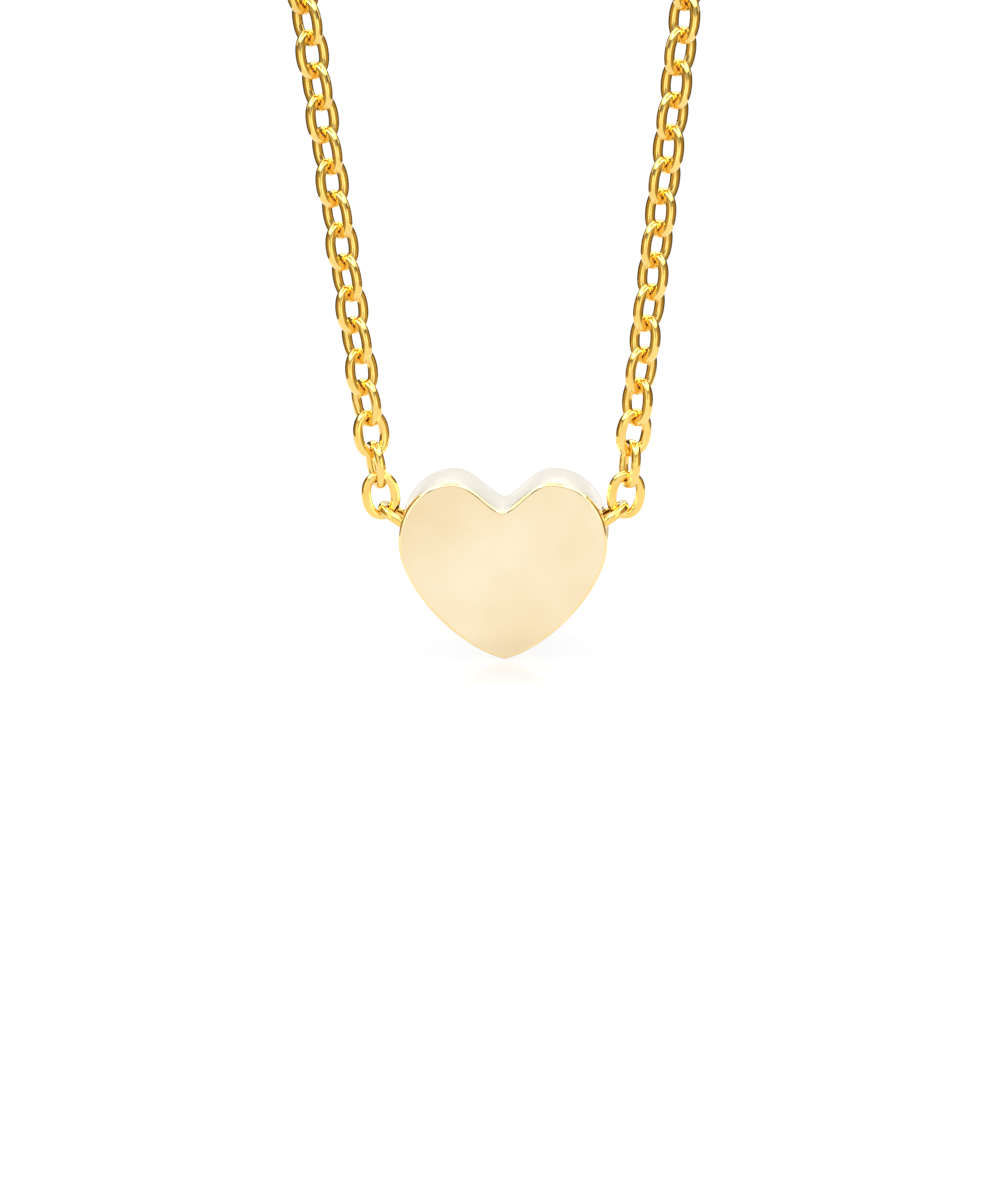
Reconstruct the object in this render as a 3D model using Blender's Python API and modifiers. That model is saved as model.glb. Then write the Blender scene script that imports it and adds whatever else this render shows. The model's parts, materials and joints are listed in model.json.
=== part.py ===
"""Pendant necklace: a polished heart bead threaded on a cable chain with a lobster clasp.

The chain hangs as one closed loop in the XZ plane. The heart's front faces -Y.
The frame's origin is the inner side of the loop's top, where it rests on a neck or a peg.
Links that are seen and that bend are modelled one by one. The rest of the chain is round
runs of the chain's own width. Everything is in metres, +Z up.
"""
import math

import bmesh
import bpy
from mathutils import Matrix, Vector

MM = 0.001

# Cable chain: oval links of round wire, 2.0 mm wide
WIRE_R = 0.225 * MM
LINK_R = 0.775 * MM          # centreline radius of a link's ends
LINK_STRAIGHT = 0.29 * MM    # half of a link's straight length
LINK_END = LINK_R + LINK_STRAIGHT
PITCH = 1.66 * MM
PLAY = 0.02 * MM             # gap left where two links pull on each other

# Loop: two straight strands, leaning outwards, joined by an arc at the top
LEAN = math.radians(7.2)
LOOP_R = 28.0 * MM
CLASP_HALF = 4.06 * MM       # half the distance between the clasp's two pulling points
CLASP_T = 2.4 * MM

# Heart bead, sizes from the axis of its hole
HEART_T = 3.1 * MM
HEART_TOP = 3.0 * MM
HEART_TIP = 6.47 * MM
HEART_HALF_W = 5.37 * MM
HEART_EDGE = 0.13 * MM
WIDE_DOWN = 0.26 * MM        # the widest place is this far below the axis
LOBE_X = 2.5 * MM
NOTCH_UP = 1.5 * MM
BORE_R = 1.15 * MM
MOUTH_R = 1.42 * MM
MOUTH_DEPTH = 0.52 * MM

# How far the outline's curves reach out from its corners and high points
TIP_REACH = 2.65 * MM
TIP_RISE = math.radians(14.7)
BELLY_REACH = 2.25 * MM
SHOULDER_REACH = 1.82 * MM
LOBE_OUT_REACH = 1.69 * MM
LOBE_IN_REACH = 1.01 * MM
NOTCH_REACH = 0.51 * MM

# Links inside the heart
BORE_PITCH = 1.31 * MM
BORE_LINKS = 7
ENTRY_TILT = math.radians(34.0)

# Strand links modelled one by one. They lie alternately 45 degrees either way, but the lowest hang turned
ROWS = 16
ROW_TWIST = 45.0
LOW_TWISTS = {1: 12.0, 2: -66.0, 3: 31.0}

# Round runs of chain, and the links above which the strand hinges
RUN_HINGES = (45, 74, 102)
RUN_R = 0.8 * MM
RUN_GAP = 0.92 * MM
RUN_START = 0.62 * MM        # from the contact above the last modelled link
RUN_CAP = ((0.0, 0.38), (0.08, 0.64), (0.26, 0.88), (0.55, 1.0))    # mm from the end, share of the radius
RUN_CAP_ROOM = 1.2 * MM
RING_OVERLAP = 0.2 * MM      # how much shorter a ring's reach is along the arc than across it
ARC_STEPS = 14

# Rings and clasp
JUMP_R = 1.7 * MM
JUMP_WIRE = 0.3 * MM
CATCH_R = 1.9 * MM
CATCH_WIRE = 0.35 * MM

# Clasp plan, from its middle, in millimetres: x, y and wire radius of the hook
CLASP_HOOK = (
    (-2.4, 0.35, 0.95), (-1.2, 0.95, 1.02), (0.3, 1.45, 1.0), (2.0, 1.65, 0.92), (3.5, 1.5, 0.8),
    (4.6, 1.1, 0.68), (5.16, 0.4, 0.6), (5.18, -0.4, 0.58), (4.9, -1.05, 0.56), (4.35, -1.5, 0.54),
    (3.85, -1.68, 0.45), (3.6, -1.72, 0.2),
)
CLASP_EYE_X = -3.9 * MM
EYE_R = 0.86 * MM
EYE_WIRE = 0.34 * MM
PIVOT = (-1.45 * MM, -0.85 * MM)
PIN_R = 0.25 * MM
PIN_SUNK = 0.05 * MM
PIN_PLAY = 0.02 * MM
LEVER_PLAY = 0.03 * MM
BODY_AT = (-1.55 * MM, -0.5 * MM)
BODY_R = 1.5 * MM
BODY_EDGE = 0.35 * MM
SLOT_AT = (-0.3 * MM, -1.35 * MM)
SLOT_SIZE = (4.3 * MM, 3.5 * MM, 1.0 * MM)

# Lever plan from its pin and spring plan from the clasp's middle, in millimetres
LEVER_PLAN = (
    (0.45, 0.35), (1.4, 0.33), (2.8, 0.07), (4.3, -0.2), (4.7, -0.42), (4.72, -0.7), (4.3, -0.85),
    (2.6, -0.65), (1.5, -0.62), (1.0, -1.05), (0.6, -1.2), (0.25, -0.95), (0.1, -0.45),
)
LEVER_T = 0.8 * MM
LEVER_EDGE = 0.08 * MM
HUB_R = 0.62 * MM
SPRING_PLAN = ((-2.35, 0.02), (-1.9, 0.16), (-1.2, 0.16), (-0.7, 0.05))
SPRING_WIDTH = 0.6 * MM
SPRING_T = 0.1 * MM

GOLD = (0.83, 0.60, 0.20)
PALE_GOLD = (0.86, 0.72, 0.47)
CLASP_GOLD = (0.82, 0.61, 0.24)
SPRING_GREY = (0.62, 0.62, 0.63)


def clear_scene():
    for item in list(bpy.data.objects):
        bpy.data.objects.remove(item, do_unlink=True)
    for group in list(bpy.data.collections):
        bpy.data.collections.remove(group)


def new_collection(name):
    group = bpy.data.collections.new(name)
    bpy.context.scene.collection.children.link(group)
    return group


def material(name, color, roughness, metallic):
    mat = bpy.data.materials.new(name)
    mat.use_nodes = True
    shader = mat.node_tree.nodes["Principled BSDF"]
    shader.inputs["Base Color"].default_value = (*color, 1.0)
    shader.inputs["Roughness"].default_value = roughness
    shader.inputs["Metallic"].default_value = metallic
    mat.diffuse_color = (*color, 1.0)
    return mat


def pivot(name, place, group, parent=None):
    """An empty on a joint's axis, at a place given in the object's own frame."""
    empty = bpy.data.objects.new(name, None)
    empty.empty_display_size = MM
    group.objects.link(empty)
    empty.parent = parent
    empty.location = Vector(place) - origin_of(parent)
    return empty


def origin_of(empty):
    """Where an empty is in the object's own frame. The empties are only shifted, never turned."""
    place = Vector((0.0, 0.0, 0.0))
    while empty is not None:
        place += empty.location
        empty = empty.parent
    return place


def add_object(name, data, mat, group, parent, place=(0.0, 0.0, 0.0)):
    """Add a named piece with its origin at a place given in the object's own frame."""
    obj = bpy.data.objects.new(name, data)
    if not data.materials:
        data.materials.append(mat)
    group.objects.link(obj)
    obj.parent = parent
    obj.location = Vector(place) - origin_of(parent)
    return obj


def curve_to_mesh(curve, name):
    """Turn a curve into a clean closed mesh."""
    holder = bpy.data.objects.new("tmp_" + name, curve)
    bpy.context.scene.collection.objects.link(holder)
    graph = bpy.context.evaluated_depsgraph_get()
    mesh = bpy.data.meshes.new_from_object(holder.evaluated_get(graph))
    bpy.data.objects.remove(holder, do_unlink=True)
    mesh.name = name
    tidy(mesh)
    return mesh


def tidy(mesh):
    work = bmesh.new()
    work.from_mesh(mesh)
    bmesh.ops.remove_doubles(work, verts=work.verts, dist=0.000004)
    bmesh.ops.recalc_face_normals(work, faces=work.faces)
    work.to_mesh(mesh)
    work.free()
    mesh.update()


def smooth(mesh, angle):
    mesh.shade_smooth()
    mesh.set_sharp_from_angle(angle=math.radians(angle))


def wire_curve(name, points, radius, sides, cyclic, radii=None):
    """A round wire along a list of points; sides is Blender's bevel resolution."""
    curve = bpy.data.curves.new(name, "CURVE")
    curve.dimensions = "3D"
    curve.bevel_depth = radius
    curve.bevel_resolution = sides
    curve.use_fill_caps = not cyclic
    spline = curve.splines.new("POLY")
    spline.points.add(len(points) - 1)
    for index, point in enumerate(points):
        spline.points[index].co = (*point, 1.0)
        spline.points[index].radius = radii[index] if radii else 1.0
    spline.use_cyclic_u = cyclic
    return curve


def ring_points(radius, straight, count):
    """Points of an oval in the XZ plane, its long axis along Z."""
    points = []
    half = count // 2
    for index in range(half):
        angle = math.pi * index / (half - 1)
        points.append(Vector((radius * math.cos(angle), 0.0, straight + radius * math.sin(angle))))
    for index in range(half):
        angle = math.pi * index / (half - 1)
        points.append(Vector((-radius * math.cos(angle), 0.0, -straight - radius * math.sin(angle))))
    return points


def circle_points(radius, count):
    turn = 2.0 * math.pi / count
    return [Vector((radius * math.cos(turn * i), 0.0, radius * math.sin(turn * i))) for i in range(count)]


def strand_point(side, along):
    """A point on a strand: side -1 is left and +1 right, along is measured up from the first link."""
    x = FIRST_X + along * math.sin(LEAN)
    z = FIRST_Z + along * math.cos(LEAN)
    return Vector((side * x, 0.0, z))


def arc_point(side, angle):
    """A point on the top arc, angle measured from straight up."""
    return Vector((side * LOOP_R * math.sin(angle), 0.0, ARC_Z + LOOP_R * math.cos(angle)))


# The chain's path, worked out from the hole's axis upwards
ENTRY_FROM = (BORE_LINKS - 1) / 2.0 * BORE_PITCH + LINK_STRAIGHT
ENTRY_NEAR = LINK_R - 2.0 * WIRE_R - PLAY
ENTRY_FAR = ENTRY_NEAR + 2.0 * LINK_END
HOOKED = LINK_END - 2.0 * WIRE_R - PLAY
FIRST_X = ENTRY_FROM + ENTRY_FAR * math.cos(ENTRY_TILT) + HOOKED * math.sin(LEAN)
FIRST_UP = ENTRY_FAR * math.sin(ENTRY_TILT) + HOOKED * math.cos(LEAN)
STRAND = (LOOP_R * math.cos(LEAN) - FIRST_X) / math.sin(LEAN)
ARC_UP = FIRST_UP + STRAND * math.cos(LEAN) + LOOP_R * math.sin(LEAN)
CLASP_ANGLE = math.asin(CLASP_HALF / LOOP_R)
CLASP_UP = ARC_UP + LOOP_R * math.cos(CLASP_ANGLE)
BORE_Z = CLASP_T / 2.0 - CLASP_UP
FIRST_Z = BORE_Z + FIRST_UP
ARC_Z = BORE_Z + ARC_UP
CLASP_Z = CLASP_T / 2.0


def place_link(name, mesh, mat, group, centre, direction, twist, parent):
    """Put a link at centre, its long axis along direction, turned by twist about that axis."""
    obj = add_object(name, mesh, mat, group, parent, centre)
    tilt = math.atan2(direction.x, direction.z)
    turn = Matrix.Rotation(tilt, 3, "Y") @ Matrix.Rotation(math.radians(twist), 3, "Z")
    obj.rotation_euler = turn.to_euler()
    return obj


def row_twist(row):
    return LOW_TWISTS.get(row, ROW_TWIST if row % 2 else -ROW_TWIST)


def build_links(group, pivots, mat):
    mesh = curve_to_mesh(wire_curve("link", ring_points(LINK_R, LINK_STRAIGHT, 16), WIRE_R, 1, True), "link")
    smooth(mesh, 50)
    for side, word in ((-1, "left"), (1, "right")):
        up = Vector((side * math.sin(LEAN), 0.0, math.cos(LEAN)))
        for row in range(1, ROWS + 1):
            place_link(f"{word}_link_{row:02d}", mesh, mat, group, strand_point(side, (row - 1) * PITCH),
                       up, row_twist(row), pivots[row])
        out = Vector((side * math.cos(ENTRY_TILT), 0.0, math.sin(ENTRY_TILT)))
        centre = Vector((side * ENTRY_FROM, 0.0, BORE_Z)) + out * (ENTRY_NEAR + LINK_END)
        place_link(f"entry_link_{word}", mesh, mat, group, centre, out, 90.0, pivots[1])
    along = Vector((1.0, 0.0, 0.0))
    for index in range(BORE_LINKS):
        centre = Vector(((index - (BORE_LINKS - 1) / 2.0) * BORE_PITCH, 0.0, BORE_Z))
        place_link(f"bore_link_{index + 1}", mesh, mat, group, centre, along, 90.0 * (index % 2), pivots[1])


def heart_outline():
    """Right half of the outline as Bezier points: position, handle before, handle after."""
    tip = Vector((0.0, -HEART_TIP))
    wide = Vector((HEART_HALF_W, -WIDE_DOWN))
    lobe = Vector((LOBE_X, HEART_TOP))
    notch = Vector((0.0, NOTCH_UP))
    tip_out = tip + TIP_REACH * Vector((math.cos(TIP_RISE), math.sin(TIP_RISE)))
    return [
        (tip, None, tip_out),
        (wide, wide - Vector((0.0, BELLY_REACH)), wide + Vector((0.0, SHOULDER_REACH))),
        (lobe, lobe + Vector((LOBE_OUT_REACH, 0.0)), lobe - Vector((LOBE_IN_REACH, 0.0))),
        (notch, notch + Vector((NOTCH_REACH, 0.0)), None),
    ]


def mirrored(point):
    return Vector((-point.x, point.y))


def heart_curve():
    curve = bpy.data.curves.new("heart_outline", "CURVE")
    curve.dimensions = "2D"
    curve.fill_mode = "BOTH"
    curve.extrude = HEART_T / 2.0 - HEART_EDGE
    curve.bevel_depth = HEART_EDGE
    curve.bevel_resolution = 1
    curve.offset = -HEART_EDGE
    curve.resolution_u = 14
    spline = curve.splines.new("BEZIER")
    right = heart_outline()
    spline.bezier_points.add(5)
    tip = right[0]
    notch = right[3]
    knots = [
        (tip[0], mirrored(tip[2]), tip[2]),
        right[1],
        right[2],
        (notch[0], notch[1], mirrored(notch[1])),
        (mirrored(right[2][0]), mirrored(right[2][2]), mirrored(right[2][1])),
        (mirrored(right[1][0]), mirrored(right[1][2]), mirrored(right[1][1])),
    ]
    for point, (place, before, after) in zip(spline.bezier_points, knots):
        point.handle_left_type = "FREE"
        point.handle_right_type = "FREE"
        point.co = (*place, 0.0)
        point.handle_left = (*before, 0.0)
        point.handle_right = (*after, 0.0)
    spline.use_cyclic_u = True
    return curve


def cone(name, centre, radius_low, radius_high, height, steps, axis, group):
    """A cylinder or a cone with closed ends, along X or Z."""
    mesh = bpy.data.meshes.new(name)
    work = bmesh.new()
    bmesh.ops.create_cone(work, cap_ends=True, segments=steps, radius1=radius_low, radius2=radius_high,
                          depth=height)
    work.to_mesh(mesh)
    work.free()
    if axis == "X":
        mesh.transform(Matrix.Rotation(math.radians(90.0), 4, "Y"))
    obj = bpy.data.objects.new(name, mesh)
    obj.location = centre
    group.objects.link(obj)
    return obj


def block(name, centre, size, group):
    mesh = bpy.data.meshes.new(name)
    work = bmesh.new()
    bmesh.ops.create_cube(work, size=1.0)
    bmesh.ops.scale(work, vec=size, verts=work.verts)
    work.to_mesh(mesh)
    work.free()
    obj = bpy.data.objects.new(name, mesh)
    obj.location = centre
    group.objects.link(obj)
    return obj


def boolean(target, other, operation):
    mod = target.modifiers.new(operation.lower() + "_" + other.name, "BOOLEAN")
    mod.operation = operation
    mod.solver = "EXACT"
    mod.object = other


def apply_modifiers(obj):
    graph = bpy.context.evaluated_depsgraph_get()
    mesh = bpy.data.meshes.new_from_object(obj.evaluated_get(graph))
    obj.modifiers.clear()
    obj.data = mesh
    tidy(mesh)


def build_heart(group, cutters, parent, mat):
    mesh = curve_to_mesh(heart_curve(), "heart_bead")
    mesh.transform(Matrix.Rotation(math.radians(90.0), 4, "X"))
    obj = add_object("heart_bead", mesh, mat, group, parent, (0.0, 0.0, BORE_Z))
    bore = cone("heart_bore_cut", (0.0, 0.0, BORE_Z), BORE_R, BORE_R, 4.0 * HEART_HALF_W, 24, "X", cutters)
    boolean(obj, bore, "DIFFERENCE")
    reach = 2.0 * MOUTH_DEPTH
    wide = 2.0 * MOUTH_R - BORE_R
    middle = HEART_HALF_W - MOUTH_DEPTH + reach / 2.0
    for side, word in ((-1, "left"), (1, "right")):
        low, high = (BORE_R, wide) if side > 0 else (wide, BORE_R)
        mouth = cone(f"heart_mouth_{word}", (side * middle, 0.0, BORE_Z), low, high, reach, 24, "X", cutters)
        boolean(obj, mouth, "DIFFERENCE")
    bpy.context.view_layer.update()
    apply_modifiers(obj)
    smooth(obj.data, 32)


def round_run(name, points, mat, group, parent):
    """A round run of chain with rounded ends along a list of points."""
    lengths = [0.0]
    for first, second in zip(points, points[1:]):
        lengths.append(lengths[-1] + (second - first).length)
    total = lengths[-1]
    spots = [(distance * MM, scale) for distance, scale in RUN_CAP]
    spots += [(length, 1.0) for length in lengths[1:-1] if RUN_CAP_ROOM < length < total - RUN_CAP_ROOM]
    spots += [(total - distance * MM, scale) for distance, scale in reversed(RUN_CAP)]
    path = []
    for length, _scale in spots:
        index = 0
        while index < len(points) - 2 and lengths[index + 1] < length:
            index += 1
        part = (length - lengths[index]) / (lengths[index + 1] - lengths[index])
        path.append(points[index].lerp(points[index + 1], part))
    curve = wire_curve(name, path, RUN_R, 2, False, [scale for _length, scale in spots])
    mesh = curve_to_mesh(curve, name)
    smooth(mesh, 60)
    return add_object(name, mesh, mat, group, parent)


def hinge_along(row):
    """How far up the strand the contact above a link is."""
    return (row - 0.5) * PITCH


def build_pivots(group):
    """One empty on each joint's axis, each held by the one above it."""
    pivots = {"neck": pivot("necklace", (0.0, 0.0, 0.0), group)}
    above = pivots["neck"]
    for name, row in zip(("drop_upper", "drop_middle", "drop_lower"), reversed(RUN_HINGES)):
        above = pivot(name + "_pivot", (0.0, 0.0, strand_point(1, hinge_along(row)).z), group, above)
        pivots[name] = above
    for row in range(ROWS, 0, -1):
        above = pivot(f"row_{row:02d}_pivot", (0.0, 0.0, strand_point(1, hinge_along(row)).z), group, above)
        pivots[row] = above
    pivots["heart"] = pivot("heart_pivot", (0.0, 0.0, BORE_Z), group, above)
    pivots["lever"] = pivot("lever_pivot", (*PIVOT, CLASP_Z), group, pivots["neck"])
    return pivots


def build_runs(group, pivots, mat):
    first = hinge_along(ROWS) + RUN_START
    hinges = [hinge_along(row) for row in RUN_HINGES]
    for side, word in ((-1, "left"), (1, "right")):
        lows = [first, hinges[0] + RUN_GAP - RUN_R, hinges[1] + RUN_GAP - RUN_R]
        for low, high, name in zip(lows, hinges, ("drop_lower", "drop_middle", "drop_upper")):
            ends = [strand_point(side, low), strand_point(side, high - RUN_GAP + RUN_R)]
            round_run(f"{name}_{word}", ends, mat, group, pivots[name])
        points = [strand_point(side, hinges[2] + RUN_GAP - RUN_R)]
        ring = JUMP_R * 2.0 + JUMP_WIRE if side < 0 else CATCH_R * 2.0 + CATCH_WIRE
        end = CLASP_ANGLE + (ring + RING_OVERLAP) / LOOP_R
        start = math.radians(90.0) + LEAN
        for step in range(ARC_STEPS + 1):
            points.append(arc_point(side, start + (end - start) * step / ARC_STEPS))
        round_run(f"neck_chain_{word}", points, mat, group, pivots["neck"])


def ring_centre(side, radius):
    """Centre of a ring that hangs from the clasp's pulling point and leads down the arc."""
    half_turn = radius / LOOP_R
    angle = CLASP_ANGLE + half_turn
    down = Vector((side * math.cos(angle), 0.0, -math.sin(angle)))
    return Vector((side * CLASP_HALF, 0.0, CLASP_Z)) + down * radius


def build_rings(group, parent, mat):
    rings = ((-1, "jump_ring", JUMP_R, JUMP_WIRE), (1, "catch_ring", CATCH_R, CATCH_WIRE))
    for side, name, radius, wire in rings:
        mesh = curve_to_mesh(wire_curve(name, circle_points(radius, 20), wire, 2, True), name)
        smooth(mesh, 50)
        hold = pivot(name + "_pivot", (side * CLASP_HALF, 0.0, CLASP_Z), group, parent)
        add_object(name, mesh, mat, group, hold, ring_centre(side, radius))


def build_clasp(group, cutters, parent, mat):
    """The claw: a bent hook, a round body with a slot for the lever, and an eye for the jump ring."""
    points = [Vector((x * MM, y * MM, 0.0)) for x, y, _radius in CLASP_HOOK]
    radii = [radius for _x, _y, radius in CLASP_HOOK]
    hook = curve_to_mesh(wire_curve("clasp_claw", points, MM, 3, False, radii), "clasp_claw")
    claw = add_object("clasp_claw", hook, mat, group, parent, (0.0, 0.0, CLASP_Z))
    body = cone("clasp_body", (*BODY_AT, CLASP_Z), BODY_R, BODY_R, CLASP_T, 28, "Z", cutters)
    edge = body.modifiers.new("edge", "BEVEL")
    edge.width = BODY_EDGE
    edge.segments = 2
    edge.limit_method = "ANGLE"
    eye_mesh = curve_to_mesh(wire_curve("eye", circle_points(EYE_R, 20), EYE_WIRE, 2, True), "eye")
    eye_mesh.transform(Matrix.Rotation(math.radians(90.0), 4, "X"))
    eye = bpy.data.objects.new("clasp_eye", eye_mesh)
    cutters.objects.link(eye)
    eye.location = (CLASP_EYE_X, 0.0, CLASP_Z)
    slot = block("clasp_slot", (*SLOT_AT, CLASP_Z), SLOT_SIZE, cutters)
    hole_r = PIN_R + PIN_PLAY
    pin_hole = cone("clasp_pin_hole", (*PIVOT, CLASP_Z), hole_r, hole_r, 4.0 * MM, 20, "Z", cutters)
    boolean(claw, body, "UNION")
    boolean(claw, eye, "UNION")
    boolean(claw, slot, "DIFFERENCE")
    boolean(claw, pin_hole, "DIFFERENCE")
    bpy.context.view_layer.update()
    apply_modifiers(claw)
    smooth(claw.data, 40)


def build_pin(group, parent, mat):
    pin = cone("clasp_pin", (*PIVOT, CLASP_Z), PIN_R, PIN_R, CLASP_T - 2.0 * PIN_SUNK, 16, "Z", group)
    pin.data.materials.append(mat)
    pin.parent = parent
    smooth(pin.data, 50)


def build_spring(group, parent, mat):
    """A bent leaf that lies in the claw's slot behind the lever."""
    strip = [Vector((x * MM, y * MM, 0.0)) for x, y in SPRING_PLAN]
    curve = bpy.data.curves.new("clasp_spring", "CURVE")
    curve.dimensions = "2D"
    curve.extrude = SPRING_WIDTH / 2.0
    spline = curve.splines.new("POLY")
    spline.points.add(len(strip) - 1)
    for point, place in zip(spline.points, strip):
        point.co = (*place, 1.0)
    mesh = curve_to_mesh(curve, "clasp_spring")
    spring = add_object("clasp_spring", mesh, mat, group, parent, (0.0, 0.0, CLASP_Z))
    skin = spring.modifiers.new("thickness", "SOLIDIFY")
    skin.thickness = SPRING_T
    skin.offset = 0.0
    apply_modifiers(spring)


def build_lever(group, cutters, parent, mat):
    """The lever: a hub round the pin, an arm to the hook's end, and a thumb tab outside."""
    curve = bpy.data.curves.new("clasp_lever", "CURVE")
    curve.dimensions = "2D"
    curve.fill_mode = "BOTH"
    curve.extrude = LEVER_T / 2.0
    spline = curve.splines.new("POLY")
    spline.points.add(len(LEVER_PLAN) - 1)
    for point, (x, y) in zip(spline.points, LEVER_PLAN):
        point.co = (x * MM, y * MM, 0.0, 1.0)
    spline.use_cyclic_u = True
    mesh = curve_to_mesh(curve, "clasp_lever")
    lever = add_object("clasp_lever", mesh, mat, group, parent, (*PIVOT, CLASP_Z))
    hub = cone("lever_hub", (*PIVOT, CLASP_Z), HUB_R, HUB_R, LEVER_T, 20, "Z", cutters)
    hole_r = PIN_R + LEVER_PLAY
    hole = cone("lever_hole", (*PIVOT, CLASP_Z), hole_r, hole_r, 3.0 * MM, 20, "Z", cutters)
    boolean(lever, hub, "UNION")
    boolean(lever, hole, "DIFFERENCE")
    bpy.context.view_layer.update()
    apply_modifiers(lever)
    soft = lever.modifiers.new("soft_edge", "BEVEL")
    soft.width = LEVER_EDGE
    soft.segments = 1
    soft.limit_method = "ANGLE"
    soft.angle_limit = math.radians(45.0)
    apply_modifiers(lever)
    smooth(lever.data, 35)


def main():
    clear_scene()
    group = new_collection("pendant_necklace")
    cutters = new_collection("cutters")
    cutters.hide_render = True
    chain_gold = material("chain_gold", GOLD, 0.14, 1.0)
    heart_gold = material("heart_gold", PALE_GOLD, 0.10, 1.0)
    clasp_gold = material("clasp_gold", CLASP_GOLD, 0.16, 1.0)
    spring_steel = material("spring_steel", SPRING_GREY, 0.30, 1.0)
    pivots = build_pivots(group)
    build_links(group, pivots, chain_gold)
    build_heart(group, cutters, pivots["heart"], heart_gold)
    build_runs(group, pivots, chain_gold)
    build_rings(group, pivots["neck"], clasp_gold)
    build_clasp(group, cutters, pivots["neck"], clasp_gold)
    build_pin(group, pivots["neck"], clasp_gold)
    build_spring(group, pivots["neck"], spring_steel)
    build_lever(group, cutters, pivots["lever"], clasp_gold)
    for item in cutters.objects:
        item.display_type = "WIRE"
        item.hide_render = True


main()
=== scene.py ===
"""Looks of the pendant necklace: fine links, the polished heart bead, the clasp and their studio."""
import json
import math

import bmesh
import bpy
import numpy as np
from mathutils import Matrix, Vector


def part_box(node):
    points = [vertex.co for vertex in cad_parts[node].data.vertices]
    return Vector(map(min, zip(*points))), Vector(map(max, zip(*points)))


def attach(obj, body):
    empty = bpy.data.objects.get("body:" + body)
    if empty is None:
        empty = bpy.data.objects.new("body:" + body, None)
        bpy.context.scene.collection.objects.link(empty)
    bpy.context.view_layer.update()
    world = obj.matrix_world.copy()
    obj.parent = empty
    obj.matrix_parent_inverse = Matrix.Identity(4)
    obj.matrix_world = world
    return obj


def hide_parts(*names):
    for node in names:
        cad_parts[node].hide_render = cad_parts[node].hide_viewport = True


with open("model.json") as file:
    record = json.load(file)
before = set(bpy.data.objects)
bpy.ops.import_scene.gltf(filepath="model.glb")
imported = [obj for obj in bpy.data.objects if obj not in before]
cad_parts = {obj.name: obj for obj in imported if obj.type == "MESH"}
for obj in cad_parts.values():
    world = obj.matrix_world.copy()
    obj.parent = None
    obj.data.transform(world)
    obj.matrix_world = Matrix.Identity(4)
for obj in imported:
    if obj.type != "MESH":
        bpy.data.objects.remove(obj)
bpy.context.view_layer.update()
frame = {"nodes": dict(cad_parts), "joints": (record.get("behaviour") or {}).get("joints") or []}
MM = 0.001

# Links: half sizes of the wire's centreline, and of the wire's section (across it at a link's sides and
# at its ends, and through the link); then the exponents that make the oval and the section fuller
LINK_HALF_W = 0.745 * MM
LINK_HALF_L = 1.062 * MM
WIRE_SIDE = 0.255 * MM
WIRE_END = 0.225 * MM
WIRE_THICK = 0.243 * MM
LINK_FULLNESS = 2.25
WIRE_SQUARENESS = 2.6
PITCH = 1.66 * MM
ROWS = 16
BORE_LINKS = 7
TWIST = 45.0

# How finely links and rings are built, as steps round the loop and round the wire: the links near the
# heart, the links further up, the two rings and the clasp's eye
LINK_STEPS = (44, 20)
FAR_LINK_STEPS = (28, 12)
RING_STEPS = (72, 20)
EYE_STEPS = (64, 20)

# The unseen chain: first and last link of each run, counted from the heart, and the arc at the nape
RUNS = (("drop_lower", 17, 45), ("drop_middle", 46, 74), ("drop_upper", 75, 102))
LOOP_R = 28.0 * MM
JUMP_R, JUMP_WIRE = 1.7 * MM, 0.3 * MM
CATCH_R, CATCH_WIRE = 1.9 * MM, 0.35 * MM
RING_PLAY = 0.02 * MM
CLASP_HALF = 4.06 * MM

# The heart's outline, from the axis of its hole: its tip, widest point, lobe and notch, how far the curve's
# handles reach from them, and the angle in degrees at which its sides leave the tip
HEART_TIP, TIP_REACH, TIP_ANGLE = Vector((0.0, -6.47 * MM)), 2.65 * MM, 14.7
HEART_WIDE, WIDE_REACH_DOWN, WIDE_REACH_UP = Vector((5.37 * MM, -0.26 * MM)), 2.25 * MM, 1.82 * MM
HEART_LOBE, LOBE_REACH_OUT, LOBE_REACH_IN = Vector((2.5 * MM, 3.0 * MM)), 1.69 * MM, 1.01 * MM
HEART_NOTCH, NOTCH_REACH = Vector((0.0, 1.5 * MM)), 0.51 * MM

# Its thickness, the radius of its polished edge, the hole and its flared mouths
HEART_T = 3.1 * MM
HEART_EDGE = 0.17 * MM
BORE_R = 1.15 * MM
MOUTH_R = 1.42 * MM
MOUTH_DEPTH = 0.52 * MM
HOLE_STEPS = 96

# Edges at which the shading breaks: the smallest turn between two faces there
HEART_CREASE = math.radians(30.0)
PIN_CREASE = math.radians(40.0)
RING_CREASE = math.radians(50.0)

# Zones of the heart, in the order of its materials, and the margins by which a face is told to lie in one
FACE, EDGE, SIDE, HOLE = range(4)
FLAT_NORMAL, FLAT_DEPTH = 0.995, 0.01 * MM
HOLE_MARGIN = 0.05 * MM
EDGE_MARGIN = 1.05

# Points of a curve's mesh that are closer than this are joined
WELD = 0.002 * MM

# Camera: angles in degrees, distance in metres, lens in millimetres
CAMERA_AZIMUTH = -2.8
CAMERA_ELEVATION = 17.4
CAMERA_ROLL = -0.96
CAMERA_DISTANCE = 0.260
CAMERA_LENS = 150.6
CAMERA_SENSOR = 36.0
CLIP_START, CLIP_END = 0.01, 20.0
AIM_X = -0.26 * MM
AIM_BELOW_BORE = 3.72 * MM


def joint_point(name):
    for joint in frame["joints"]:
        if joint["name"] == name:
            return Vector(joint["pos_m"])
    raise KeyError(name)


def middle(node):
    low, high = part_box(node)
    return (low + high) / 2.0


BORE = joint_point("heart_spin")
LEVER_PIN = joint_point("lever_open")
CLASP_AT = Vector((0.0, 0.0, LEVER_PIN.z))


# ---------------------------------------------------------------- materials

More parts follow.
